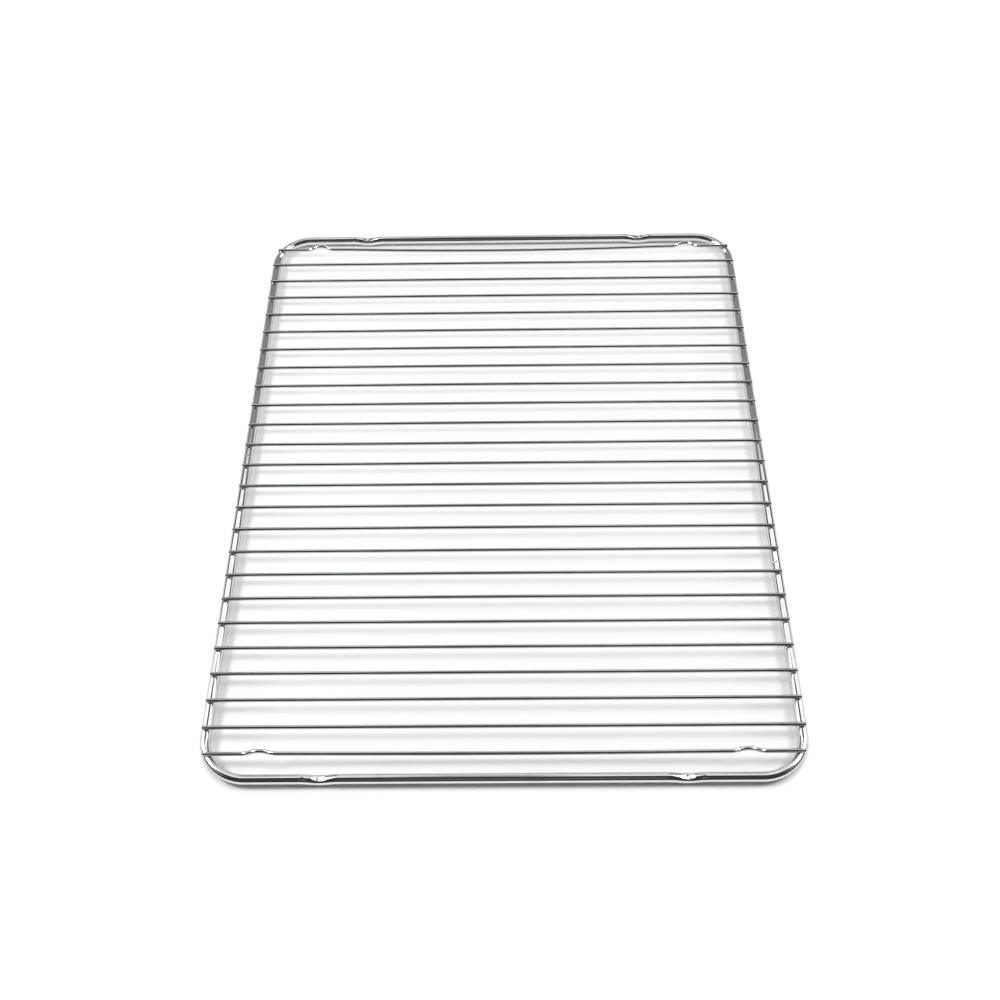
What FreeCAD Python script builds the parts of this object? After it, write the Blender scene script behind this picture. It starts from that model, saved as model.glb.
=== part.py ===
import FreeCAD, Part
import Sketcher
import math
import os

# Oven shelf rack: a closed frame of thick wire with thin cross wires welded over it.
# X runs along the cross wires, Y along the frame's length, and the rack stands on Z = 0.

# Driving sizes in millimetres, and what each one measures
SIZES = {
    "frame_length": (465, "outside of the frame along Y"),
    "frame_width": (360, "outside of the frame along X"),
    "frame_wire_dia": (6, "thick wire of the frame"),
    "corner_bend_radius": (26.5, "frame corners, at the middle of the wire"),
    "dip_spacing": (214, "between the two dips of one end rail"),
    "dip_length": (24, "one dip, where it leaves and rejoins the rail"),
    "dip_depth": (1.5, "how far a dip reaches below the rail"),
    "cross_wire_dia": (2.5, "thin wire of the cross wires"),
    "plain_wire_count": (23, "straight cross wires between the two end wires"),
    "end_wire_setback": (14.5, "end rail to end wire, between wire middles"),
    "end_wire_gap": (17, "end wire to the nearest straight wire, between wire middles"),
    "wire_tip_inset": (0.8, "wire tip inside the outer edge of the frame"),
    "wire_tip_chamfer": (0.3, "chamfer round the cropped tip of a cross wire"),
    "weld_set_down": (0.4, "how far a cross wire is pressed into the frame by welding"),
    "arch_spacing": (286, "between the two arches of one end wire"),
    "arch_length": (22, "one arch, where it leaves and rejoins the wire"),
    "arch_height": (3.6, "rise of an arch above its wire"),
    "sag_shoulder": (15, "run over which a sagging end wire turns level beside an arch"),
    "near_wire_sag": (1.2, "sag of the end wire on the -Y side at mid span"),
    "far_wire_sag": (2.6, "sag of the end wire on the +Y side at mid span"),
}

doc = FreeCAD.newDocument("oven_shelf_rack")
sheet = doc.addObject("Spreadsheet::Sheet", "Sizes")
for row, (alias, (value, meaning)) in enumerate(SIZES.items(), start=1):
    sheet.set(f"A{row}", meaning)
    sheet.set(f"B{row}", str(value))
    sheet.setAlias(f"B{row}", alias)
doc.recompute()

# Places that several pieces share, as expressions over the sheet
RAIL_HEIGHT = "(Sizes.dip_depth + Sizes.frame_wire_dia / 2)"
RAIL_Y = "(Sizes.frame_length / 2 - Sizes.frame_wire_dia / 2)"
RAIL_X = "(Sizes.frame_width / 2 - Sizes.frame_wire_dia / 2)"
CORNER_X = f"({RAIL_X} - Sizes.corner_bend_radius)"
WIRE_HEIGHT = f"({RAIL_HEIGHT} + Sizes.frame_wire_dia / 2 + Sizes.cross_wire_dia / 2 - Sizes.weld_set_down)"
END_WIRE_Y = f"({RAIL_Y} - Sizes.end_wire_setback)"
OUTER_PLAIN_Y = f"({END_WIRE_Y} - Sizes.end_wire_gap)"
ARCH_FOOT = "(Sizes.arch_spacing / 2 - Sizes.arch_length / 2)"
PLAIN_TIP = "(Sizes.frame_width / 2 - Sizes.wire_tip_inset)"

# An end wire crosses the frame at its rounded corners, so it is shorter than a plain wire
CORNER_OUTSIDE = "(Sizes.corner_bend_radius + Sizes.frame_wire_dia / 2)"
CORNER_DROP = "max(Sizes.corner_bend_radius - Sizes.end_wire_setback; 0)"
END_TIP = f"({CORNER_X} + sqrt({CORNER_OUTSIDE} ^ 2 - {CORNER_DROP} ^ 2) - Sizes.wire_tip_inset)"

# Numbers that a sketch gives to a curve's two ends and centre, and to its own two axes
FIRST, LAST, CENTRE = range(1, 4)
LEVEL_AXIS, UPRIGHT_AXIS = range(-1, -3, -1)
ORIGIN = (LEVEL_AXIS, FIRST)

# Two places closer than this are one place
SAME_PLACE = 0.0001


def size(expression):
    """The present value of an expression over the sheet."""
    return float(sheet.evalExpression(expression))


def plane(body, role):
    return next(feature for feature in body.Origin.OriginFeatures if feature.Role == role)


def new_sketch(body, name, role, **offsets):
    """A sketch on one of the body's own origin planes, moved along its x, y or z by bound offsets."""
    sketch = body.newObject("Sketcher::SketchObject", name)
    sketch.AttachmentSupport = [(plane(body, role), "")]
    sketch.MapMode = "FlatFace"
    for axis, expression in offsets.items():
        sketch.setExpression(f"AttachmentOffset.Base.{axis}", expression)
    doc.recompute()
    return sketch


def wire_section(body, name, role, diameter, **offsets):
    """The round section of a wire, centred on the sketch's own origin."""
    sketch = new_sketch(body, name, role, **offsets)
    radius = size(diameter) / 2
    circle = sketch.addGeometry(Part.Circle(FreeCAD.Vector(), FreeCAD.Vector(0, 0, 1), radius))
    sketch.addConstraint(Sketcher.Constraint("Coincident", circle, CENTRE, *ORIGIN))
    tied = sketch.addConstraint(Sketcher.Constraint("Diameter", circle, 2 * radius))
    sketch.setExpression(f"Constraints[{tied}]", diameter)
    return sketch


# Paths are drawn from left to right: each piece is its index and its left and right ends
def add_line(sketch, left, right):
    ends = [FreeCAD.Vector(*point, 0) for point in (left, right)]
    return sketch.addGeometry(Part.LineSegment(*ends)), FIRST, LAST


def add_arc(sketch, left, run, left_slope, right_slope):
    """An arc that turns steadily from one slope to another; a valley turns up and a crest turns down."""
    radius = run / (math.sin(right_slope) - math.sin(left_slope))
    middle_x = left[0] - radius * math.sin(left_slope)
    middle_y = left[1] + radius * math.cos(left_slope)
    circle = Part.Circle(FreeCAD.Vector(middle_x, middle_y, 0), FreeCAD.Vector(0, 0, 1), abs(radius))
    quarter = math.pi / 2
    if radius > 0:
        arc = Part.ArcOfCircle(circle, left_slope - quarter, right_slope - quarter)
        return sketch.addGeometry(arc), FIRST, LAST
    arc = Part.ArcOfCircle(circle, right_slope + quarter, left_slope + quarter)
    return sketch.addGeometry(arc), LAST, FIRST


def add_bend(sketch, start, length, height):
    """Three arcs that leave a level run, reach a height (or depth) half way along and come back."""
    slope = 2 * math.atan(2 * height / length)
    foot_run = length / 4
    first_foot = add_arc(sketch, (start, 0), foot_run, 0, slope)
    crown = add_arc(sketch, (start + foot_run, height / 2), 2 * foot_run, slope, -slope)
    last_foot = add_arc(sketch, (start + 3 * foot_run, height / 2), foot_run, -slope, 0)
    return [first_foot, crown, last_foot]


def left_end(piece):
    return piece[0], piece[1]


def right_end(piece):
    return piece[0], piece[2]


def join_smoothly(sketch, pieces):
    for before, after in zip(pieces, pieces[1:]):
        sketch.addConstraint(Sketcher.Constraint("Tangent", *right_end(before), *left_end(after)))


def drive_gap(sketch, direction, start, stop, expression):
    """Binds the distance from one point to another, along X or Y of the sketch."""
    gap = sketch.getPoint(*stop) - sketch.getPoint(*start)
    along = gap.x if direction == "DistanceX" else gap.y
    tied = sketch.addConstraint(Sketcher.Constraint(direction, *start, *stop, along))
    sketch.setExpression(f"Constraints[{tied}]", expression)


def constrain_bend(sketch, bend, length, height, rises):
    """Binds a bend whose first foot already starts on the level axis, and lands its last foot there."""
    first_foot, crown, last_foot = bend
    low, high = left_end(first_foot), right_end(first_foot)
    drive_gap(sketch, "DistanceX", low, high, f"{length} / 4")
    drive_gap(sketch, "DistanceY", *((low, high) if rises else (high, low)), f"{height} / 2")
    drive_gap(sketch, "DistanceX", left_end(crown), right_end(crown), f"{length} / 2")
    sketch.addConstraint(Sketcher.Constraint("Horizontal", *left_end(crown), *right_end(crown)))
    sketch.addConstraint(Sketcher.Constraint("PointOnObject", *right_end(last_foot), LEVEL_AXIS))


def sweep(body, name, section, path):
    pipe = body.newObject("PartDesign::AdditivePipe", name)
    pipe.Profile = section
    pipe.Spine = (path, [])
    doc.recompute()
    return pipe


def mirror_whole(body, name, role):
    mirrored = body.newObject("PartDesign::Mirrored", name)
    mirrored.TransformMode = "Whole shape"
    mirrored.MirrorPlane = (plane(body, role), [""])
    body.Tip = mirrored
    doc.recompute()
    return mirrored


def chamfer_tips(body, tipped):
    """Chamfers the two round edges that lie furthest out along X."""
    edges = tipped.Shape.Edges
    reach = max(abs(edge.CenterOfMass.x) for edge in edges)
    tips = [f"Edge{number}" for number, edge in enumerate(edges, start=1)
            if math.isclose(abs(edge.CenterOfMass.x), reach, abs_tol=SAME_PLACE)]
    chamfer = body.newObject("PartDesign::Chamfer", "tip_chamfer")
    chamfer.Base = (tipped, tips)
    chamfer.setExpression("Size", "Sizes.wire_tip_chamfer")
    doc.recompute()


def new_body(label):
    body = doc.addObject("PartDesign::Body", label)
    body.Label = label
    return body


# Frame: a quarter of the loop, mirrored twice
def end_rail_path(body):
    """Half an end rail from its middle to the corner, with one dip."""
    sketch = new_sketch(body, "end_rail_path", "XZ_Plane", y=RAIL_HEIGHT, z=RAIL_Y)
    dip_start_rule = "Sizes.dip_spacing / 2 - Sizes.dip_length / 2"
    dip_start = size(dip_start_rule)
    dip_length = size("Sizes.dip_length")
    middle_run = add_line(sketch, (0, 0), (dip_start, 0))
    dip = add_bend(sketch, dip_start, dip_length, -size("Sizes.dip_depth"))
    corner_run = add_line(sketch, (dip_start + dip_length, 0), (size(CORNER_X), 0))
    join_smoothly(sketch, [middle_run, *dip, corner_run])
    sketch.addConstraint(Sketcher.Constraint("Coincident", *left_end(middle_run), *ORIGIN))
    sketch.addConstraint(Sketcher.Constraint("Horizontal", middle_run[0]))
    sketch.addConstraint(Sketcher.Constraint("Horizontal", corner_run[0]))
    drive_gap(sketch, "DistanceX", ORIGIN, right_end(middle_run), dip_start_rule)
    constrain_bend(sketch, dip, "Sizes.dip_length", "Sizes.dip_depth", rises=False)
    drive_gap(sketch, "DistanceX", ORIGIN, right_end(corner_run), CORNER_X)
    return sketch


def side_rail_path(body):
    """Half a side rail from its middle, and the corner that leads into the end rail."""
    sketch = new_sketch(body, "side_rail_path", "XY_Plane", z=RAIL_HEIGHT)
    bend = size("Sizes.corner_bend_radius")
    side_x, end_y = size(RAIL_X), -size(RAIL_Y)
    side, side_start, side_stop = add_line(sketch, (side_x, 0), (side_x, end_y + bend))
    circle = Part.Circle(FreeCAD.Vector(side_x - bend, end_y + bend, 0), FreeCAD.Vector(0, 0, 1), bend)
    corner = sketch.addGeometry(Part.ArcOfCircle(circle, -math.pi / 2, 0))
    sketch.addConstraint(Sketcher.Constraint("Tangent", side, side_stop, corner, LAST))
    sketch.addConstraint(Sketcher.Constraint("PointOnObject", side, side_start, LEVEL_AXIS))
    sketch.addConstraint(Sketcher.Constraint("Vertical", side))
    sketch.addConstraint(Sketcher.Constraint("Vertical", corner, CENTRE, corner, FIRST))
    tied = sketch.addConstraint(Sketcher.Constraint("Radius", corner, bend))
    sketch.setExpression(f"Constraints[{tied}]", "Sizes.corner_bend_radius")
    drive_gap(sketch, "DistanceX", ORIGIN, (side, side_start), RAIL_X)
    drive_gap(sketch, "DistanceY", (corner, FIRST), ORIGIN, RAIL_Y)
    return sketch


def make_frame():
    body = new_body("frame_wire")
    wire = "Sizes.frame_wire_dia"
    end_section = wire_section(body, "end_rail_section", "YZ_Plane", wire, x=f"-{RAIL_Y}", y=RAIL_HEIGHT)
    sweep(body, "end_rail", end_section, end_rail_path(body))
    side_section = wire_section(body, "side_rail_section", "XZ_Plane", wire, x=RAIL_X, y=RAIL_HEIGHT)
    sweep(body, "side_rail_and_corner", side_section, side_rail_path(body))
    mirror_whole(body, "both_sides", "YZ_Plane")
    mirror_whole(body, "both_ends", "XZ_Plane")
    return body


# Cross wires: each is seated on the frame by cutting the frame's own shape out of it
def seat_on_frame(wire, frame, label):
    seated = doc.addObject("Part::Cut", label)
    seated.Label = label
    seated.Base = wire
    seated.Tool = frame
    return seated


def place_wire(body, along):
    """Lays a wire body across the frame at a bound distance along Y."""
    body.setExpression("Placement.Base.y", along)
    body.setExpression("Placement.Base.z", WIRE_HEIGHT)


def make_plain_wire(frame, number):
    body = new_body(f"straight_wire_{number:02d}")
    section = wire_section(body, "section", "YZ_Plane", "Sizes.cross_wire_dia")
    pad = body.newObject("PartDesign::Pad", "length")
    pad.Profile = section
    pad.Midplane = True
    pad.setExpression("Length", f"2 * {PLAIN_TIP}")
    doc.recompute()
    chamfer_tips(body, pad)
    step = f"{number - 1} / (Sizes.plain_wire_count - 1)"
    place_wire(body, f"{OUTER_PLAIN_Y} * (2 * {step} - 1)")
    return seat_on_frame(body, frame, f"cross_wire_{number:02d}")


def end_wire_path(body, sag):
    """Half an end wire from mid span: the sag, one arch and the straight run to the tip."""
    sketch = new_sketch(body, "path", "XZ_Plane")
    foot, shoulder_run, drop = size(ARCH_FOOT), size("Sizes.sag_shoulder"), size(sag)
    arch_length = size("Sizes.arch_length")
    slope = 2 * math.atan(drop / foot)
    belly_run = foot - shoulder_run
    belly = add_arc(sketch, (0, -drop), belly_run, 0, slope)
    shoulder = add_arc(sketch, (belly_run, -drop * shoulder_run / foot), shoulder_run, slope, 0)
    arch = add_bend(sketch, foot, arch_length, size("Sizes.arch_height"))
    tip_run = add_line(sketch, (foot + arch_length, 0), (size(END_TIP), 0))
    join_smoothly(sketch, [belly, shoulder, *arch, tip_run])
    sketch.addConstraint(Sketcher.Constraint("PointOnObject", belly[0], CENTRE, UPRIGHT_AXIS))
    sketch.addConstraint(Sketcher.Constraint("PointOnObject", *left_end(belly), UPRIGHT_AXIS))
    drive_gap(sketch, "DistanceY", left_end(belly), ORIGIN, sag)
    drive_gap(sketch, "DistanceX", left_end(shoulder), right_end(shoulder), "Sizes.sag_shoulder")
    drive_gap(sketch, "DistanceX", ORIGIN, right_end(shoulder), ARCH_FOOT)
    sketch.addConstraint(Sketcher.Constraint("PointOnObject", *right_end(shoulder), LEVEL_AXIS))
    sketch.addConstraint(Sketcher.Constraint("Vertical", shoulder[0], CENTRE, *right_end(shoulder)))
    constrain_bend(sketch, arch, "Sizes.arch_length", "Sizes.arch_height", rises=True)
    sketch.addConstraint(Sketcher.Constraint("Horizontal", tip_run[0]))
    drive_gap(sketch, "DistanceX", ORIGIN, right_end(tip_run), END_TIP)
    return sketch


def make_end_wire(frame, label, side, sag):
    body = new_body(f"arched_{label}")
    section = wire_section(body, "section", "YZ_Plane", "Sizes.cross_wire_dia", y=f"-{sag}")
    sweep(body, "half", section, end_wire_path(body, sag))
    whole = mirror_whole(body, "whole", "YZ_Plane")
    chamfer_tips(body, whole)
    place_wire(body, f"{side} * {END_WIRE_Y}")
    return seat_on_frame(body, frame, label)


frame_wire = make_frame()
wire_count = round(size("Sizes.plain_wire_count"))
sub_parts = [frame_wire]
sub_parts += [make_plain_wire(frame_wire, number) for number in range(1, wire_count + 1)]
sub_parts.append(make_end_wire(frame_wire, "end_wire_near", -1, "Sizes.near_wire_sag"))
sub_parts.append(make_end_wire(frame_wire, "end_wire_far", 1, "Sizes.far_wire_sag"))
doc.recompute()

# Nothing is written unless every object worked out and every sub-part is one sound solid
for item in doc.Objects:
    if "Invalid" in item.State or "Error" in item.State:
        raise RuntimeError(f"{item.Label} did not work out: {item.State}")
for item in sub_parts:
    if item.Shape.isNull() or not item.Shape.isValid() or len(item.Shape.Solids) != 1:
        raise RuntimeError(f"{item.Label} is not one sound solid")

os.makedirs("parts", exist_ok=True)
for item in sub_parts:
    item.Shape.exportStep(f"parts/{item.Label}.step")
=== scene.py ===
import math
import random

import bpy
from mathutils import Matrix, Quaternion, Vector, noise


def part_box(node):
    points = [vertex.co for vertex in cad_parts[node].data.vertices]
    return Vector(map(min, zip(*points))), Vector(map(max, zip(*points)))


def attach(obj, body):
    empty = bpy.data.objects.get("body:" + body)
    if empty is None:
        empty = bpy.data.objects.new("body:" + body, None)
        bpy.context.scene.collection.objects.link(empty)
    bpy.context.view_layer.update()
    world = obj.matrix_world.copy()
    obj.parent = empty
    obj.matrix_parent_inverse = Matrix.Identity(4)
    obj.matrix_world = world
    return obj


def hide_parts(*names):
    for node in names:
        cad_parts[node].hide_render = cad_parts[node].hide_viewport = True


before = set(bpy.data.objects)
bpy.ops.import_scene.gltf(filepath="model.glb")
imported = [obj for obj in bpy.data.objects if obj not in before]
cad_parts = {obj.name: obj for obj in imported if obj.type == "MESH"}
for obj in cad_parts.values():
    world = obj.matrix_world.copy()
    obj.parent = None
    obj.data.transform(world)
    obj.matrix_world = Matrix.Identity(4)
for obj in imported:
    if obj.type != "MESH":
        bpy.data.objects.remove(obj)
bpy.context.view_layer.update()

# Sizes of the rack in metres, the same as in the part's own sheet
FRAME_WIRE = 0.006
CORNER_BEND = 0.0265
DIP_SPACING = 0.214
DIP_LENGTH = 0.024
DIP_DEPTH = 0.0015
ARCH_SPACING = 0.286
ARCH_LENGTH = 0.022
SAG_SHOULDER = 0.015
SAGS = {"end_wire_near": 0.0012, "end_wire_far": 0.0026}
WELD_SET_DOWN = 0.0004
TIP_CHAMFER = 0.0003

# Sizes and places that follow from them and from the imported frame
frame_low, frame_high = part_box("frame_wire")
wire_low, wire_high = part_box("cross_wire_01")
FRAME_RADIUS = FRAME_WIRE / 2
RAIL_X = frame_high.x - FRAME_RADIUS
RAIL_Y = frame_high.y - FRAME_RADIUS
RAIL_Z = frame_low.z + DIP_DEPTH + FRAME_RADIUS
CROSS_RADIUS = (wire_high.y - wire_low.y) / 2
WIRE_Z = (wire_low.z + wire_high.z) / 2
ARCH_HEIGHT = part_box("end_wire_near")[1].z - WIRE_Z - CROSS_RADIUS
DIPS = (-DIP_SPACING / 2, DIP_SPACING / 2)
ARCHES = (-ARCH_SPACING / 2, ARCH_SPACING / 2)
PLAIN_WIRES = sorted(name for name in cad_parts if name.startswith("cross_wire_"))
END_WIRES = list(SAGS)

# How finely the wires are meshed
FRAME_SIDES = 48
CROSS_SIDES = 32
STRAIGHT_STEP = 0.006
BEND_STEP = 0.00025
MARK_STEP = 0.00005
CORNER_STEPS = 48
SHARP_ANGLE = math.radians(35)

UP = Vector((0, 0, 1))
WHITE = (1, 1, 1, 1)


# Wire paths
def bend_height(offset, length, height):
    """Height of a pressed bend, made of three arcs of one radius, at a distance from its middle."""
    reach = abs(offset)
    quarter = length / 4
    if reach >= 2 * quarter:
        return 0.0
    radius = (quarter ** 2 + (height / 2) ** 2) / abs(height)
    if reach > quarter:
        rise = radius - math.sqrt(radius ** 2 - (2 * quarter - reach) ** 2)
    else:
        rise = abs(height) - radius + math.sqrt(radius ** 2 - reach ** 2)
    return math.copysign(rise, height)


def sag_height(x, sag):
    """Height of a sagging end wire between the feet of its two arches."""
    foot = ARCH_SPACING / 2 - ARCH_LENGTH / 2
    reach = abs(x)
    if reach >= foot:
        return 0.0
    turn = math.sin(2 * math.atan(sag / foot))
    belly = (foot - SAG_SHOULDER) / turn
    shoulder = SAG_SHOULDER / turn
    if reach > foot - SAG_SHOULDER:
        return math.sqrt(shoulder ** 2 - (foot - reach) ** 2) - shoulder
    return belly - math.sqrt(belly ** 2 - x ** 2) - sag


def stations(start, stop, bends=(), length=0.0, close=BEND_STEP):
    """Distances from start to stop: even steps on the straight runs and close ones inside each bend."""
    edges = [start]
    for middle in bends:
        edges += [middle - length / 2, middle + length / 2]
    edges.append(stop)
    marks = [start]
    for index, (low, high) in enumerate(zip(edges, edges[1:])):
        step = close if index % 2 else STRAIGHT_STEP
        count = math.ceil((high - low) / step)
        marks += [low + (high - low) * part / count for part in range(1, count + 1)]
    return marks


# Marks on the side rails: the butt weld that closes the frame on the left, and a nick on the right
MARK_LENGTH = 0.001
JOINT_Y = 0.0093
JOINT_HALF = 0.0003
JOINT_DEPTH = 0.1
NICK_Y = -0.0821
NICK_HALF = 0.0004
NICK_DEPTH = 0.16
NICK_MIDDLE = math.radians(108)
NICK_REACH = math.radians(26)


def end_rail(y):
    """An end rail from its left corner to its right one, with its two dips."""
    reach = RAIL_X - CORNER_BEND
    points = []
    for x in stations(-reach, reach, DIPS, DIP_LENGTH):
        drop = sum(bend_height(x - dip, DIP_LENGTH, -DIP_DEPTH) for dip in DIPS)
        points.append(Vector((x, y, RAIL_Z + drop)))
    return points


def side_rail(x, mark):
    """A side rail from its near corner to its far one, finely divided round the mark that it carries."""
    reach = RAIL_Y - CORNER_BEND
    return [Vector((x, y, RAIL_Z)) for y in stations(-reach, reach, (mark,), MARK_LENGTH, MARK_STEP)]


def corner(x_side, y_side, start_angle):
    """A quarter turn of the frame, without the two points where it meets its rails."""
    middle = Vector((x_side * (RAIL_X - CORNER_BEND), y_side * (RAIL_Y - CORNER_BEND), RAIL_Z))
    turns = (start_angle + math.pi / 2 * step / CORNER_STEPS for step in range(1, CORNER_STEPS))
    return [middle + CORNER_BEND * Vector((math.cos(turn), math.sin(turn), 0)) for turn in turns]


def frame_path():
    """The closed loop of the frame, anticlockwise from the near left corner."""
    loop = end_rail(-RAIL_Y)
    loop += corner(1, -1, -math.pi / 2)
    loop += side_rail(RAIL_X, NICK_Y)
    loop += corner(1, 1, 0)
    loop += reversed(end_rail(RAIL_Y))
    loop += corner(-1, 1, math.pi / 2)
    loop += reversed(side_rail(-RAIL_X, JOINT_Y))
    loop += corner(-1, -1, math.pi)
    return loop


def wire_y(node):
    """Where a cross wire lies along the side rails."""
    low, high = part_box(node)
    return (low.y + high.y) / 2


def wire_stations(node, bends=(), length=0.0):
    """Distances along a cross wire, with the chamfered tips as steps of their own."""
    low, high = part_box(node)
    inner = stations(low.x + TIP_CHAMFER, high.x - TIP_CHAMFER, bends, length)
    return [low.x, *inner, high.x]


def plain_wire_path(node, bow):
    """A straight cross wire that bows very slightly between its welds."""
    y = wire_y(node)
    points = []
    for x in wire_stations(node):
        share = max(0.0, 1 - (x / RAIL_X) ** 2)
        points.append(Vector((x, y, WIRE_Z)) + bow * share)
    return points


def end_wire_path(node):
    """An end wire with its two arches, sagging between them."""
    y = wire_y(node)
    points = []
    for x in wire_stations(node, ARCHES, ARCH_LENGTH):
        rise = sum(bend_height(x - arch, ARCH_LENGTH, ARCH_HEIGHT) for arch in ARCHES)
        points.append(Vector((x, y, WIRE_Z + rise + sag_height(x, SAGS[node]))))
    return points


# Sections of the wires, as the share of the radius that a point and an angle have
ON_RAIL = 0.000001
PUNCH_LENGTH = 0.010
PUNCH_DEPTH = 0.2
PUNCH_UNEVEN = 0.03
PUNCH_GRAIN = 700


def round_section(point, angle):
    """A plain round section."""
    return 1.0


def punched_section(point, angle):
    """The frame's section, flattened on top where the punch pressed a dip and left an uneven mark."""
    offset = min(abs(point.x - dip) for dip in DIPS)
    share = 1 - (2 * offset / PUNCH_LENGTH) ** 2
    if share <= 0 or math.sin(angle) <= 0:
        return 1.0
    mark = Vector((point.x, point.y, angle / PUNCH_GRAIN)) * PUNCH_GRAIN
    level = 1 - PUNCH_DEPTH * share + PUNCH_UNEVEN * share * noise.noise(mark)
    return min(1.0, level / math.sin(angle))


def groove(offset, half, depth):
    """How much a rounded groove takes off, at a distance from its middle."""
    share = max(0.0, 1 - (offset / half) ** 2)
    return depth * share


def marked_section(point, angle):
    """The frame's section with the butt weld's groove, the nick and the punched dips."""
    if abs(abs(point.y) - RAIL_Y) < ON_RAIL:
        return punched_section(point, angle)
    if abs(point.x + RAIL_X) < ON_RAIL:
        return 1 - groove(point.y - JOINT_Y, JOINT_HALF, JOINT_DEPTH)
    if abs(point.x - RAIL_X) < ON_RAIL:
        nick = groove(point.y - NICK_Y, NICK_HALF, NICK_DEPTH)
        return 1 - nick * groove(angle - NICK_MIDDLE, NICK_REACH, 1)
    return 1.0


# Meshes
def stretch_count(path, closed):
    """How many stretches a path has between its points."""
    return len(path) if closed else len(path) - 1


def tube_points(path, radii, sides, closed, section):
    """The points of a tube, one ring after another along its path."""
    count = len(path)
    verts = []
    for index, point in enumerate(path):
        before = path[index - 1] if closed or index else point
        after = path[(index + 1) % count] if closed or index + 1 < count else point
        forward = (after - before).normalized()
        aside = forward.cross(UP).normalized()
        upward = aside.cross(forward)
        for side in range(sides):
            angle = 2 * math.pi * side / sides
            way = math.cos(angle) * aside + math.sin(angle) * upward
            verts.append(point + radii[index] * section(point, angle) * way)
    return verts


def tube_faces(path, sides, closed):
    """The faces between the rings of a tube, with a cap at each end of an open one."""
    count = len(path)
    faces = []
    for ring in range(stretch_count(path, closed)):
        here = ring * sides
        there = (ring + 1) % count * sides
        for side in range(sides):
            turn = (side + 1) % sides
            faces.append((here + side, here + turn, there + turn, there + side))
    if not closed:
        faces.append(tuple(reversed(range(sides))))
        faces.append(tuple(range((count - 1) * sides, count * sides)))
    return faces


def distances_along(path):
    """How far along its path each point lies."""
    distances = [0.0]
    for before, after in zip(path, path[1:]):
        distances.append(distances[-1] + (after - before).length)
    return distances


def write_coordinates(mesh, path, sides, closed):
    """Texture coordinates of a tube: metres along the wire, and the share of a turn round it."""
    layer = mesh.uv_layers.new(name="wire")
    distances = distances_along(path)
    for ring in range(stretch_count(path, closed)):
        start = distances[ring]
        stop = distances[min(ring + 1, len(path) - 1)]
        for side in range(sides):
            corners = mesh.polygons[ring * sides + side].loop_indices
            places = ((start, side), (start, side + 1), (stop, side + 1), (stop, side))
            for loop, (along, turn) in zip(corners, places):
                layer.data[loop].uv = (along, turn / sides)


def tube_mesh(name, path, radii, sides, closed, section=round_section):
    """A tube along a path, with a radius and a section of its own at each point of it."""
    verts = tube_points(path, radii, sides, closed, section)
    faces = tube_faces(path, sides, closed)
    mesh = bpy.data.meshes.new(name)
    mesh.from_pydata(verts, [], faces)
    write_coordinates(mesh, path, sides, closed)
    mesh.shade_smooth()
    mesh.set_sharp_from_angle(angle=SHARP_ANGLE)
    return mesh


def tip_radii(count, radius):
    """Full radius along a wire, less the chamfer at its two tips."""
    return [radius - TIP_CHAMFER, *[radius] * (count - 2), radius - TIP_CHAMFER]


def add_piece(name, mesh, material, *nodes):
    """A piece of the rack, which stands for the solids that are named."""
    piece = bpy.data.objects.new(name, mesh)
    bpy.context.scene.collection.objects.link(piece)
    mesh.materials.append(material)
    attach(piece, "root")
    if nodes:
        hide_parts(*nodes)


# Shader helpers
def add_node(tree, kind, **settings):
    """A new node with the settings that are named."""
    node = tree.nodes.new(kind)
    for name, value in settings.items():
        setattr(node, name, value)
    return node


def calculate(tree, operation, *values):
    """A math node whose inputs are sockets or plain numbers."""
    node = add_node(tree, "ShaderNodeMath", operation=operation)
    for socket, value in zip(node.inputs, values):
        if isinstance(value, bpy.types.NodeSocket):
            tree.links.new(value, socket)
        else:
            socket.default_value = value
    return node.outputs[0]


def split_vector(tree, vector):
    """The X, Y and Z of a vector."""
    node = add_node(tree, "ShaderNodeSeparateXYZ")
    tree.links.new(vector, node.inputs["Vector"])
    return tuple(node.outputs)


def ease(tree, value, start, stop):
    """Rises smoothly from 0 to 1 as the value goes from start to stop."""
    node = add_node(tree, "ShaderNodeMapRange", interpolation_type="SMOOTHSTEP")
    tree.links.new(value, node.inputs["Value"])
    node.inputs["From Min"].default_value = start
    node.inputs["From Max"].default_value = stop
    return node.outputs["Result"]


def inverse(tree, value):
    """What is left of 1."""
    return calculate(tree, "SUBTRACT", 1.0, value)


def below(tree, value, edge):
    """1 below a soft edge and 0 above it."""
    return inverse(tree, ease(tree, value, *edge))


def between(tree, value, low, high):
    """1 inside a range, with soft edges given as pairs of numbers."""
    return calculate(tree, "MULTIPLY", ease(tree, value, *low), below(tree, value, high))


def product(tree, *factors):
    """All the factors multiplied."""
    total = factors[0]
    for factor in factors[1:]:
        total = calculate(tree, "MULTIPLY", total, factor)
    return total


# Chrome: two tones, the tint at grazing angles and the range of roughness of the frame, wires and welds
FRAME_CHROME = ((0.735, 0.75, 0.747, 1), (0.812, 0.83, 0.826, 1))
WIRE_CHROME = ((0.62, 0.635, 0.632, 1), (0.69, 0.707, 0.703, 1))
FRAME_EDGE = (0.45, 0.46, 0.46, 1)
WIRE_EDGE = (0.6, 0.612, 0.612, 1)
FRAME_GLOSS = (0.03, 0.08)
WIRE_GLOSS = (0.035, 0.09)
WELD_GLOSS = (0.16, 0.34)

# Lines that drawing leaves along a wire, which a weld doesn't have, and clouds in the plating
DRAWN_GRAIN = 0.25
WELD_GRAIN = 0.0
GRAIN_HEIGHT = 0.00002
DRAWN_ALONG = 60
DRAWN_ROUND = 26
DRAWN_DETAIL = 3.0
CLOUD_SCALE = 90
CLOUD_DETAIL = 4.0
CLOUD_TONES = (0.3, 0.6)


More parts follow.
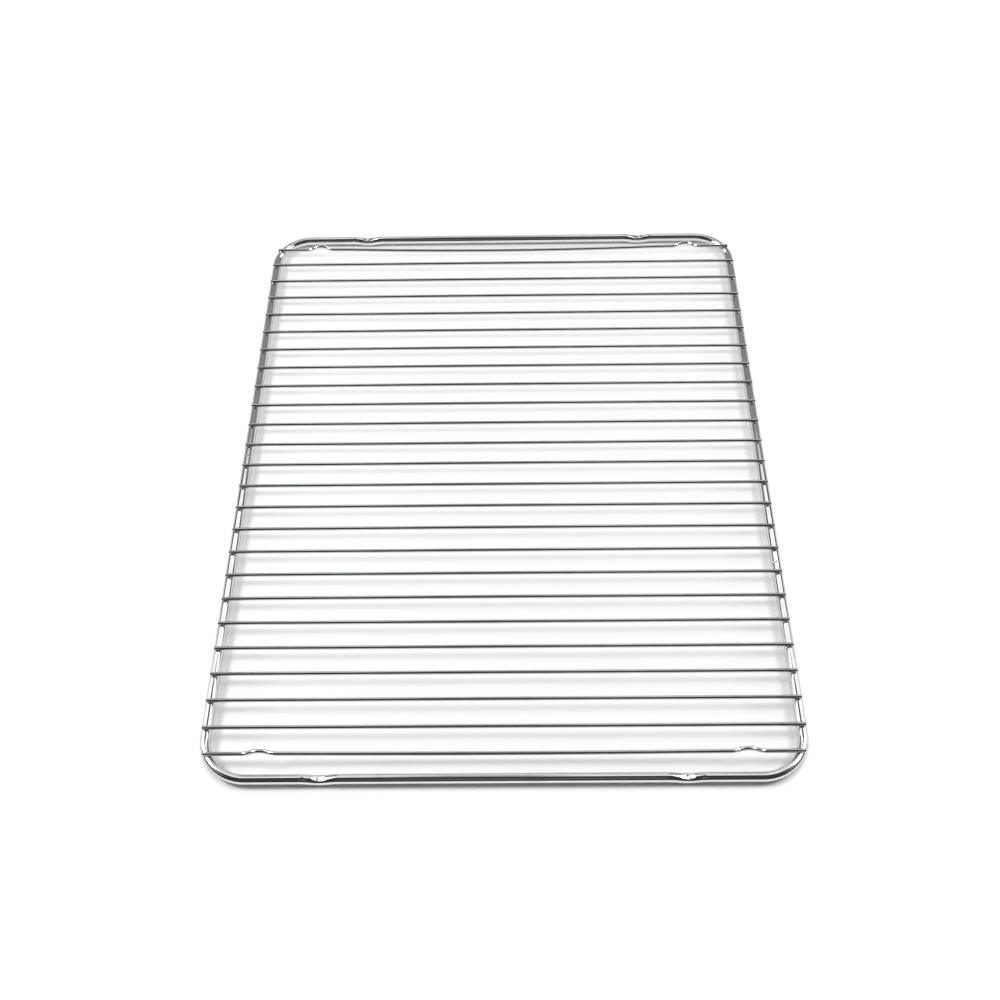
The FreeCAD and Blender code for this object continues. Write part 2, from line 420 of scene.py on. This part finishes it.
def drawn_lines(tree):
    """Noise stretched along the wire."""
    place = add_node(tree, "ShaderNodeUVMap", uv_map="wire")
    stretch = add_node(tree, "ShaderNodeMapping")
    stretch.inputs["Scale"].default_value = (DRAWN_ALONG, DRAWN_ROUND, 1)
    tree.links.new(place.outputs["UV"], stretch.inputs["Vector"])
    lines = add_node(tree, "ShaderNodeTexNoise")
    lines.inputs["Scale"].default_value = 1.0
    lines.inputs["Detail"].default_value = DRAWN_DETAIL
    tree.links.new(stretch.outputs["Vector"], lines.inputs["Vector"])
    return lines.outputs["Fac"]


def plating_clouds(tree):
    """Soft noise in the plating."""
    spot = add_node(tree, "ShaderNodeTexCoord")
    cloud = add_node(tree, "ShaderNodeTexNoise")
    cloud.inputs["Scale"].default_value = CLOUD_SCALE
    cloud.inputs["Detail"].default_value = CLOUD_DETAIL
    tree.links.new(spot.outputs["Object"], cloud.inputs["Vector"])
    return cloud.outputs["Fac"]


def chrome_material(name, tones, edge, roughness, grain):
    """Chrome plating over drawn wire: faint lines along the wire and a slightly uneven gloss."""
    material = bpy.data.materials.new(name)
    material.use_nodes = True
    tree = material.node_tree
    shader = tree.nodes["Principled BSDF"]
    shader.inputs["Metallic"].default_value = 1.0
    shader.inputs["Specular Tint"].default_value = edge
    cloud = plating_clouds(tree)

    gloss = add_node(tree, "ShaderNodeMapRange")
    gloss.inputs["To Min"].default_value, gloss.inputs["To Max"].default_value = roughness
    tree.links.new(cloud, gloss.inputs["Value"])
    tree.links.new(gloss.outputs["Result"], shader.inputs["Roughness"])

    colour = add_node(tree, "ShaderNodeMix", data_type="RGBA")
    colour.inputs["A"].default_value, colour.inputs["B"].default_value = tones
    tree.links.new(ease(tree, cloud, *CLOUD_TONES), colour.inputs["Factor"])
    tree.links.new(colour.outputs["Result"], shader.inputs["Base Color"])

    bump = add_node(tree, "ShaderNodeBump")
    bump.inputs["Strength"].default_value = grain
    bump.inputs["Distance"].default_value = GRAIN_HEIGHT
    tree.links.new(drawn_lines(tree), bump.inputs["Height"])
    tree.links.new(bump.outputs["Normal"], shader.inputs["Normal"])
    return material


# Frame
def add_frame():
    """The frame's closed loop, with its dips and marks."""
    loop = frame_path()
    radii = [FRAME_RADIUS] * len(loop)
    mesh = tube_mesh("frame_loop", loop, radii, FRAME_SIDES, closed=True, section=marked_section)
    material = chrome_material("chrome_frame", FRAME_CHROME, FRAME_EDGE, FRAME_GLOSS, DRAWN_GRAIN)
    add_piece("frame_loop", mesh, material, "frame_wire")


# Cross wires, and how far the plain ones bow
BOW = 0.00018
BOW_SEED = 3


def add_wire(node, path, material):
    """One cross wire in place of its solid."""
    name = f"{node}_drawn"
    mesh = tube_mesh(name, path, tip_radii(len(path), CROSS_RADIUS), CROSS_SIDES, closed=False)
    add_piece(name, mesh, material, node)


def add_cross_wires():
    """The plain wires, each bowed in a way of its own, and the two end wires."""
    material = chrome_material("chrome_cross", WIRE_CHROME, WIRE_EDGE, WIRE_GLOSS, DRAWN_GRAIN)
    draw = random.Random(BOW_SEED)
    for node in PLAIN_WIRES:
        bow = Vector((0, draw.uniform(-BOW, BOW), draw.uniform(-BOW, BOW)))
        add_wire(node, plain_wire_path(node, bow), material)
    for node in END_WIRES:
        add_wire(node, end_wire_path(node), material)


# Weld beads: the small collars of metal pressed out where a cross wire sinks into the frame
BEAD_HALF = Vector((0.0019, 0.00145, 0.0006))
BEAD_SIZES = (0.85, 1.1)
BEAD_ROUND = 20
BEAD_RINGS = 10
BEAD_UNEVEN = 0.14
BEAD_LUMPS = 1.6
BEAD_PLACES = 50
BEAD_SEED = 7


def ball_way(polar, turn):
    """A direction, from its angle to straight up and its turn about that line."""
    flat = math.sin(polar)
    return Vector((flat * math.cos(turn), flat * math.sin(turn), math.cos(polar)))


def add_bead(verts, faces, centre, size, place):
    """An uneven flat ball, whose lumps come from a place of its own in the noise."""
    first = len(verts)
    verts.append(centre + Vector((0, 0, size.z)))
    for ring in range(1, BEAD_RINGS):
        polar = math.pi * ring / BEAD_RINGS
        for step in range(BEAD_ROUND):
            way = ball_way(polar, 2 * math.pi * step / BEAD_ROUND)
            swell = 1 + BEAD_UNEVEN * noise.noise(way * BEAD_LUMPS + place)
            verts.append(centre + Vector((way.x * size.x, way.y * size.y, way.z * size.z)) * swell)
    last = len(verts)
    verts.append(centre - Vector((0, 0, size.z)))
    ring_start = first + 1
    for step in range(BEAD_ROUND):
        after = (step + 1) % BEAD_ROUND
        faces.append((first, ring_start + step, ring_start + after))
        faces.append((last, last - BEAD_ROUND + after, last - BEAD_ROUND + step))
        for ring in range(BEAD_RINGS - 2):
            here = ring_start + ring * BEAD_ROUND
            there = here + BEAD_ROUND
            faces.append((here + step, there + step, there + after, here + after))


def rail_crossing(y):
    """Distance along X from the middle to where a cross wire meets the top of the frame."""
    past = max(abs(y) - (RAIL_Y - CORNER_BEND), 0.0)
    return RAIL_X - CORNER_BEND + math.sqrt(CORNER_BEND ** 2 - past ** 2)


def drawn_vector(draw, low, high):
    """A vector of three random numbers."""
    return Vector((draw.uniform(low, high), draw.uniform(low, high), draw.uniform(low, high)))


def add_weld_beads():
    """A bead at both ends of every cross wire, all in one piece."""
    draw = random.Random(BEAD_SEED)
    top = RAIL_Z + FRAME_RADIUS - WELD_SET_DOWN / 2
    verts = []
    faces = []
    for node in [*PLAIN_WIRES, *END_WIRES]:
        y = wire_y(node)
        for side in (-1, 1):
            place = drawn_vector(draw, 0, BEAD_PLACES)
            size = BEAD_HALF * draw.uniform(*BEAD_SIZES)
            add_bead(verts, faces, Vector((side * rail_crossing(y), y, top)), size, place)
    mesh = bpy.data.meshes.new("weld_beads")
    mesh.from_pydata(verts, [], faces)
    mesh.uv_layers.new(name="wire")
    mesh.shade_smooth()
    material = chrome_material("chrome_weld", WIRE_CHROME, FRAME_EDGE, WELD_GLOSS, WELD_GRAIN)
    add_piece("weld_beads", mesh, material)


# Floor: its colour, and the fade to plain white in metres outside the frame, quicker at the frame's sides
FLOOR_COLOUR = (0.95, 0.972, 0.968, 1)
FLOOR_REACH = 6.0
FLOOR_FADE = (-0.001, 0.005)
SIDE_FADE = 2.6

# Share of painted light inside the frame, a glowing white that lightens the rack's shadows on the floor, and
# where it changes, in metres past the rim, so below zero
MIDDLE_PAINTED_LIGHT = 0.61
NEAR_PAINTED_LIGHT_CUT = 0.04
NEAR_START = (-0.19, -0.09)
NEAR_FADE = (-0.024, -0.004)
FAR_PAINTED_LIGHT = 0.16
FAR_START = (-0.04, -0.022)
FAR_FADE = (-0.013, -0.009)
STRIP_PAINTED_LIGHT_CUT = 0.42
STRIP_FADE = (-0.05, -0.012)


def past_rim(tree, value, rim):
    """How far a coordinate lies outside the frame, below zero inside it."""
    return calculate(tree, "SUBTRACT", calculate(tree, "ABSOLUTE", value), rim)


def outside_frame(tree, x, y):
    """Distance outside the frame's rounded outline, counted faster at its sides."""
    round_off = CORNER_BEND + FRAME_RADIUS
    aside = calculate(tree, "MAXIMUM", past_rim(tree, x, frame_high.x - round_off), 0.0)
    ahead = calculate(tree, "MAXIMUM", past_rim(tree, y, frame_high.y - round_off), 0.0)
    square = calculate(tree, "MULTIPLY", aside, aside)
    length = calculate(tree, "SQRT", calculate(tree, "MULTIPLY_ADD", ahead, ahead, square))
    sideways = calculate(tree, "DIVIDE", aside, calculate(tree, "MAXIMUM", length, round_off))
    sideways = calculate(tree, "MULTIPLY", sideways, sideways)
    hurry = calculate(tree, "MULTIPLY_ADD", sideways, SIDE_FADE - 1, 1.0)
    return calculate(tree, "MULTIPLY", calculate(tree, "SUBTRACT", length, round_off), hurry)


def painted_light_inside(tree, x, y):
    """Share of painted light inside the frame, a glowing white that lightens the rack's shadows: more at its
    far end, less near its end and side rails.
    """
    beside = past_rim(tree, x, frame_high.x)
    near = calculate(tree, "SUBTRACT", frame_low.y, y)
    far = calculate(tree, "SUBTRACT", y, frame_high.y)
    # Less painted light beside the side rails, so that the rails' shadows stay deep there
    painted_light_by_rails = calculate(tree, "MULTIPLY_ADD", ease(tree, beside, *STRIP_FADE), -STRIP_PAINTED_LIGHT_CUT, 1.0)
    share = calculate(tree, "MULTIPLY_ADD", ease(tree, far, *FAR_START), FAR_PAINTED_LIGHT, MIDDLE_PAINTED_LIGHT)
    share = calculate(tree, "MULTIPLY_ADD", ease(tree, near, *NEAR_START), -NEAR_PAINTED_LIGHT_CUT, share)
    return product(tree, below(tree, near, NEAR_FADE), below(tree, far, FAR_FADE), painted_light_by_rails, share)


def floor_material():
    """A pale floor that keeps the rack's shadow, lightened inside the frame by painted light, and turns into
    plain white away from it.
    """
    material = bpy.data.materials.new("pale_floor")
    material.use_nodes = True
    tree = material.node_tree
    shader = tree.nodes["Principled BSDF"]
    shader.inputs["Base Color"].default_value = FLOOR_COLOUR
    shader.inputs["Roughness"].default_value = 1.0
    shader.inputs["Specular IOR Level"].default_value = 0.0

    spot = add_node(tree, "ShaderNodeTexCoord")
    x, y, _ = split_vector(tree, spot.outputs["Object"])
    away = ease(tree, outside_frame(tree, x, y), *FLOOR_FADE)
    # Painted light inside the frame, which lightens the rack's shadows, and the plain white backdrop outside
    # it
    share = calculate(tree, "MAXIMUM", away, painted_light_inside(tree, x, y))

    ray = add_node(tree, "ShaderNodeLightPath")
    seen = calculate(tree, "MAXIMUM", ray.outputs["Is Camera Ray"], ray.outputs["Is Glossy Ray"])
    seen = calculate(tree, "MAXIMUM", seen, ray.outputs["Is Transmission Ray"])
    # Glowing white, both the backdrop and the painted light inside the frame
    white = add_node(tree, "ShaderNodeEmission")
    white.inputs["Color"].default_value = WHITE
    blend = add_node(tree, "ShaderNodeMixShader")
    factor, shadowed, plain = blend.inputs
    tree.links.new(calculate(tree, "MULTIPLY", share, seen), factor)
    tree.links.new(shader.outputs["BSDF"], shadowed)
    tree.links.new(white.outputs["Emission"], plain)
    tree.links.new(blend.outputs["Shader"], tree.nodes["Material Output"].inputs["Surface"])
    return material


def make_floor():
    """A large square that the rack stands on."""
    low, high = -FLOOR_REACH, FLOOR_REACH
    corners = [(low, low, 0), (high, low, 0), (high, high, 0), (low, high, 0)]
    mesh = bpy.data.meshes.new("floor")
    mesh.from_pydata(corners, [], [(0, 1, 2, 3)])
    mesh.materials.append(floor_material())
    floor = bpy.data.objects.new("floor", mesh)
    bpy.context.scene.collection.objects.link(floor)


# Brightness of the surroundings that the chrome reflects, where the white floor is 1
ROOM = 0.045
ROOM_FRONT = 0.1
BACK_GREY = 0.23
BACK_PANEL = 0.8
SIDE_WALLS = 0.25
WHITE_ARCH = 1.3
ARCH_TOP_SHARE = 0.35
GLINT = 4.0
WHITE_HORIZON = 1.0

# Where they begin and end, each as a soft edge: X across, Y to the back and Z up of a direction of length 1
ARCH_FRONT = (0.12, 0.34)
ARCH_BACK = (0.588, 0.638)
ARCH_CURVE = 0.12
ARCH_FOOT = (0.42, 0.6)
ARCH_STANDS = (0.44, 0.53)
ARCH_TOP_X = -0.03
ARCH_TOP_EDGE = (0.02, 0.1)
ARCH_GAP_SIDES = (0.2, 0.32)
ARCH_GAP_FRONT = (0.4, 0.42)
ARCH_GAP_BACK = (0.45, 0.49)
BACK_FRONT = (0.57, 0.62)
FRONT_SIDES = (0.06, 0.2)
PANEL_SIDES = (0.1, 0.26)
WALL_INNER = (0.45, 0.7)
WALL_FRONT = (-0.6, -0.2)
WALL_FOOT = (0.25, 0.45)
GLINT_IN = (0.32, 0.4)
GLINT_OUT = (0.82, 0.88)
GLINT_FRONT = (0.1, 0.18)
GLINT_BACK = (0.34, 0.4)
GLINT_FOOT = (0.42, 0.5)
GLINT_HEAD = (0.88, 0.94)
HORIZON_TOP = (0.08, 0.16)
HORIZON_FRONT = (0.0, 0.3)

# Slopes towards the back, Y over Z, where the front patch and the back panel begin and end
FRONT_FAR = (-1.5, -1.1)
FRONT_NEAR = (-0.75, -0.5)
PANEL_NEAR = (1.05, 1.25)
PANEL_FAR = (2.3, 3.4)
LEAST_RISE = 0.001

# Depth of a ray on reaching a light: below this it has bounced once at most
ONE_BOUNCE = 2.5


def bounced_once(tree, ray):
    """1 for a ray that has bounced once at most, so that lights show in the chrome but not in its images."""
    return inverse(tree, calculate(tree, "GREATER_THAN", ray.outputs["Ray Depth"], ONE_BOUNCE))


def white_arch(tree, x, across, y, z):
    """The arch over the table: dim at its top, with a slot across it, and standing on the floor in front."""
    off_top = calculate(tree, "ABSOLUTE", calculate(tree, "SUBTRACT", x, ARCH_TOP_X))
    sides = ease(tree, off_top, *ARCH_TOP_EDGE)
    glow = calculate(tree, "MULTIPLY_ADD", sides, 1 - ARCH_TOP_SHARE, ARCH_TOP_SHARE)
    gap = product(tree, below(tree, across, ARCH_GAP_SIDES), between(tree, y, ARCH_GAP_FRONT, ARCH_GAP_BACK))
    foot = calculate(tree, "MAXIMUM", ease(tree, z, *ARCH_FOOT), below(tree, y, ARCH_STANDS))
    square = calculate(tree, "MULTIPLY", across, across)
    curved = calculate(tree, "MULTIPLY_ADD", square, ARCH_CURVE, y)
    depth = product(tree, ease(tree, y, *ARCH_FRONT), below(tree, curved, ARCH_BACK))
    return product(tree, depth, foot, glow, inverse(tree, gap))


def lamp_glint(tree, across, y, z, ray):
    """A bright patch at each side, which only the chrome sees."""
    return product(
        tree,
        between(tree, across, GLINT_IN, GLINT_OUT),
        between(tree, y, GLINT_FRONT, GLINT_BACK),
        between(tree, z, GLINT_FOOT, GLINT_HEAD),
        ray.outputs["Is Glossy Ray"],
        bounced_once(tree, ray),
    )


def room_light(tree, x, across, y, z, ray):
    """Brightness of the dim room with the arch, the walls, the bright panel and the glints in it."""
    slope = calculate(tree, "DIVIDE", y, calculate(tree, "MAXIMUM", z, LEAST_RISE))
    front = product(tree, between(tree, slope, FRONT_FAR, FRONT_NEAR), below(tree, across, FRONT_SIDES))
    panel = product(tree, between(tree, slope, PANEL_NEAR, PANEL_FAR), below(tree, across, PANEL_SIDES))
    walls = product(tree, ease(tree, across, *WALL_INNER), between(tree, y, WALL_FRONT, ARCH_FRONT))
    parts = (
        (front, ROOM_FRONT),
        (white_arch(tree, x, across, y, z), WHITE_ARCH),
        (ease(tree, y, *BACK_FRONT), BACK_GREY),
        (panel, BACK_PANEL),
        (product(tree, walls, ease(tree, z, *WALL_FOOT)), SIDE_WALLS),
        (lamp_glint(tree, across, y, z, ray), GLINT),
    )
    light = ROOM
    for share, brightness in parts:
        light = calculate(tree, "MULTIPLY_ADD", share, brightness, light)
    return light


def horizon_share(tree, across, y, z):
    """1 on the white horizon, low at the back between the walls."""
    low = below(tree, z, HORIZON_TOP)
    return product(tree, low, below(tree, across, WALL_INNER), ease(tree, y, *HORIZON_FRONT))


def studio_surroundings():
    """A dim room with a white horizon for the chrome to reflect, and plain white for the camera."""
    world = bpy.data.worlds.new("studio")
    bpy.context.scene.world = world
    world.use_nodes = True
    tree = world.node_tree
    background = tree.nodes["Background"]
    background.inputs["Color"].default_value = WHITE
    way = add_node(tree, "ShaderNodeTexCoord")
    ray = add_node(tree, "ShaderNodeLightPath")
    x, y, z = split_vector(tree, way.outputs["Generated"])
    across = calculate(tree, "ABSOLUTE", x)

    blend = add_node(tree, "ShaderNodeMix", data_type="FLOAT")
    tree.links.new(horizon_share(tree, across, y, z), blend.inputs["Factor"])
    tree.links.new(room_light(tree, x, across, y, z, ray), blend.inputs["A"])
    blend.inputs["B"].default_value = WHITE_HORIZON
    seen = calculate(tree, "MAXIMUM", ray.outputs["Is Camera Ray"], ray.outputs["Is Transmission Ray"])
    strength = calculate(tree, "MAXIMUM", blend.outputs["Result"], seen)
    tree.links.new(strength, background.inputs["Strength"])


# Lamps: their place, size and aim in metres, and their power
LAMP_OUT = 0.76
LAMP_BACK = -0.02
LAMP_UP = 0.70
LAMP_LONG = 0.36
LAMP_TALL = 0.26
LAMP_AIM = Vector((0, 0.3, 0))
LAMP_WATTS = {"left_lamp": 6.8, "right_lamp": 4.8}


def studio_lamps():
    """A soft lamp at each side of the table."""
    for side, (name, watts) in zip((-1, 1), LAMP_WATTS.items()):
        data = bpy.data.lights.new(name, "AREA")
        data.shape = "RECTANGLE"
        data.size = LAMP_LONG
        data.size_y = LAMP_TALL
        data.energy = watts
        data.use_nodes = True
        tree = data.node_tree
        ray = add_node(tree, "ShaderNodeLightPath")
        tree.links.new(bounced_once(tree, ray), tree.nodes["Emission"].inputs["Strength"])
        lamp = bpy.data.objects.new(name, data)
        lamp.location = (side * LAMP_OUT, LAMP_BACK, LAMP_UP)
        lamp.rotation_euler = (LAMP_AIM - lamp.location).to_track_quat("-Z", "Y").to_euler()
        lamp.visible_camera = False
        bpy.context.scene.collection.objects.link(lamp)


# Camera: its place and aim in metres, and its lens and sensor in millimetres
CAMERA_EYE = Vector((0.0082, -0.5342, 0.6893))
CAMERA_AIM = Vector((-0.0021, -0.0254, 0.0))
CAMERA_ROLL = math.radians(-1.41)
CAMERA_LENS = 45.39
CAMERA_SENSOR = 36


def make_camera():
    """The camera, turned a little about its own line of sight."""
    data = bpy.data.cameras.new("camera")
    data.sensor_width = CAMERA_SENSOR
    data.lens = CAMERA_LENS
    camera = bpy.data.objects.new("camera", data)
    camera.location = CAMERA_EYE
    look = (CAMERA_AIM - CAMERA_EYE).to_track_quat("-Z", "Y")
    camera.rotation_euler = (look @ Quaternion((0, 0, 1), CAMERA_ROLL)).to_euler()
    bpy.context.scene.collection.objects.link(camera)
    bpy.context.scene.camera = camera


# The rack and its stage
add_frame()
add_cross_wires()
add_weld_beads()
make_floor()
studio_surroundings()
studio_lamps()
make_camera()
bpy.context.scene.view_settings.view_transform = "Standard"
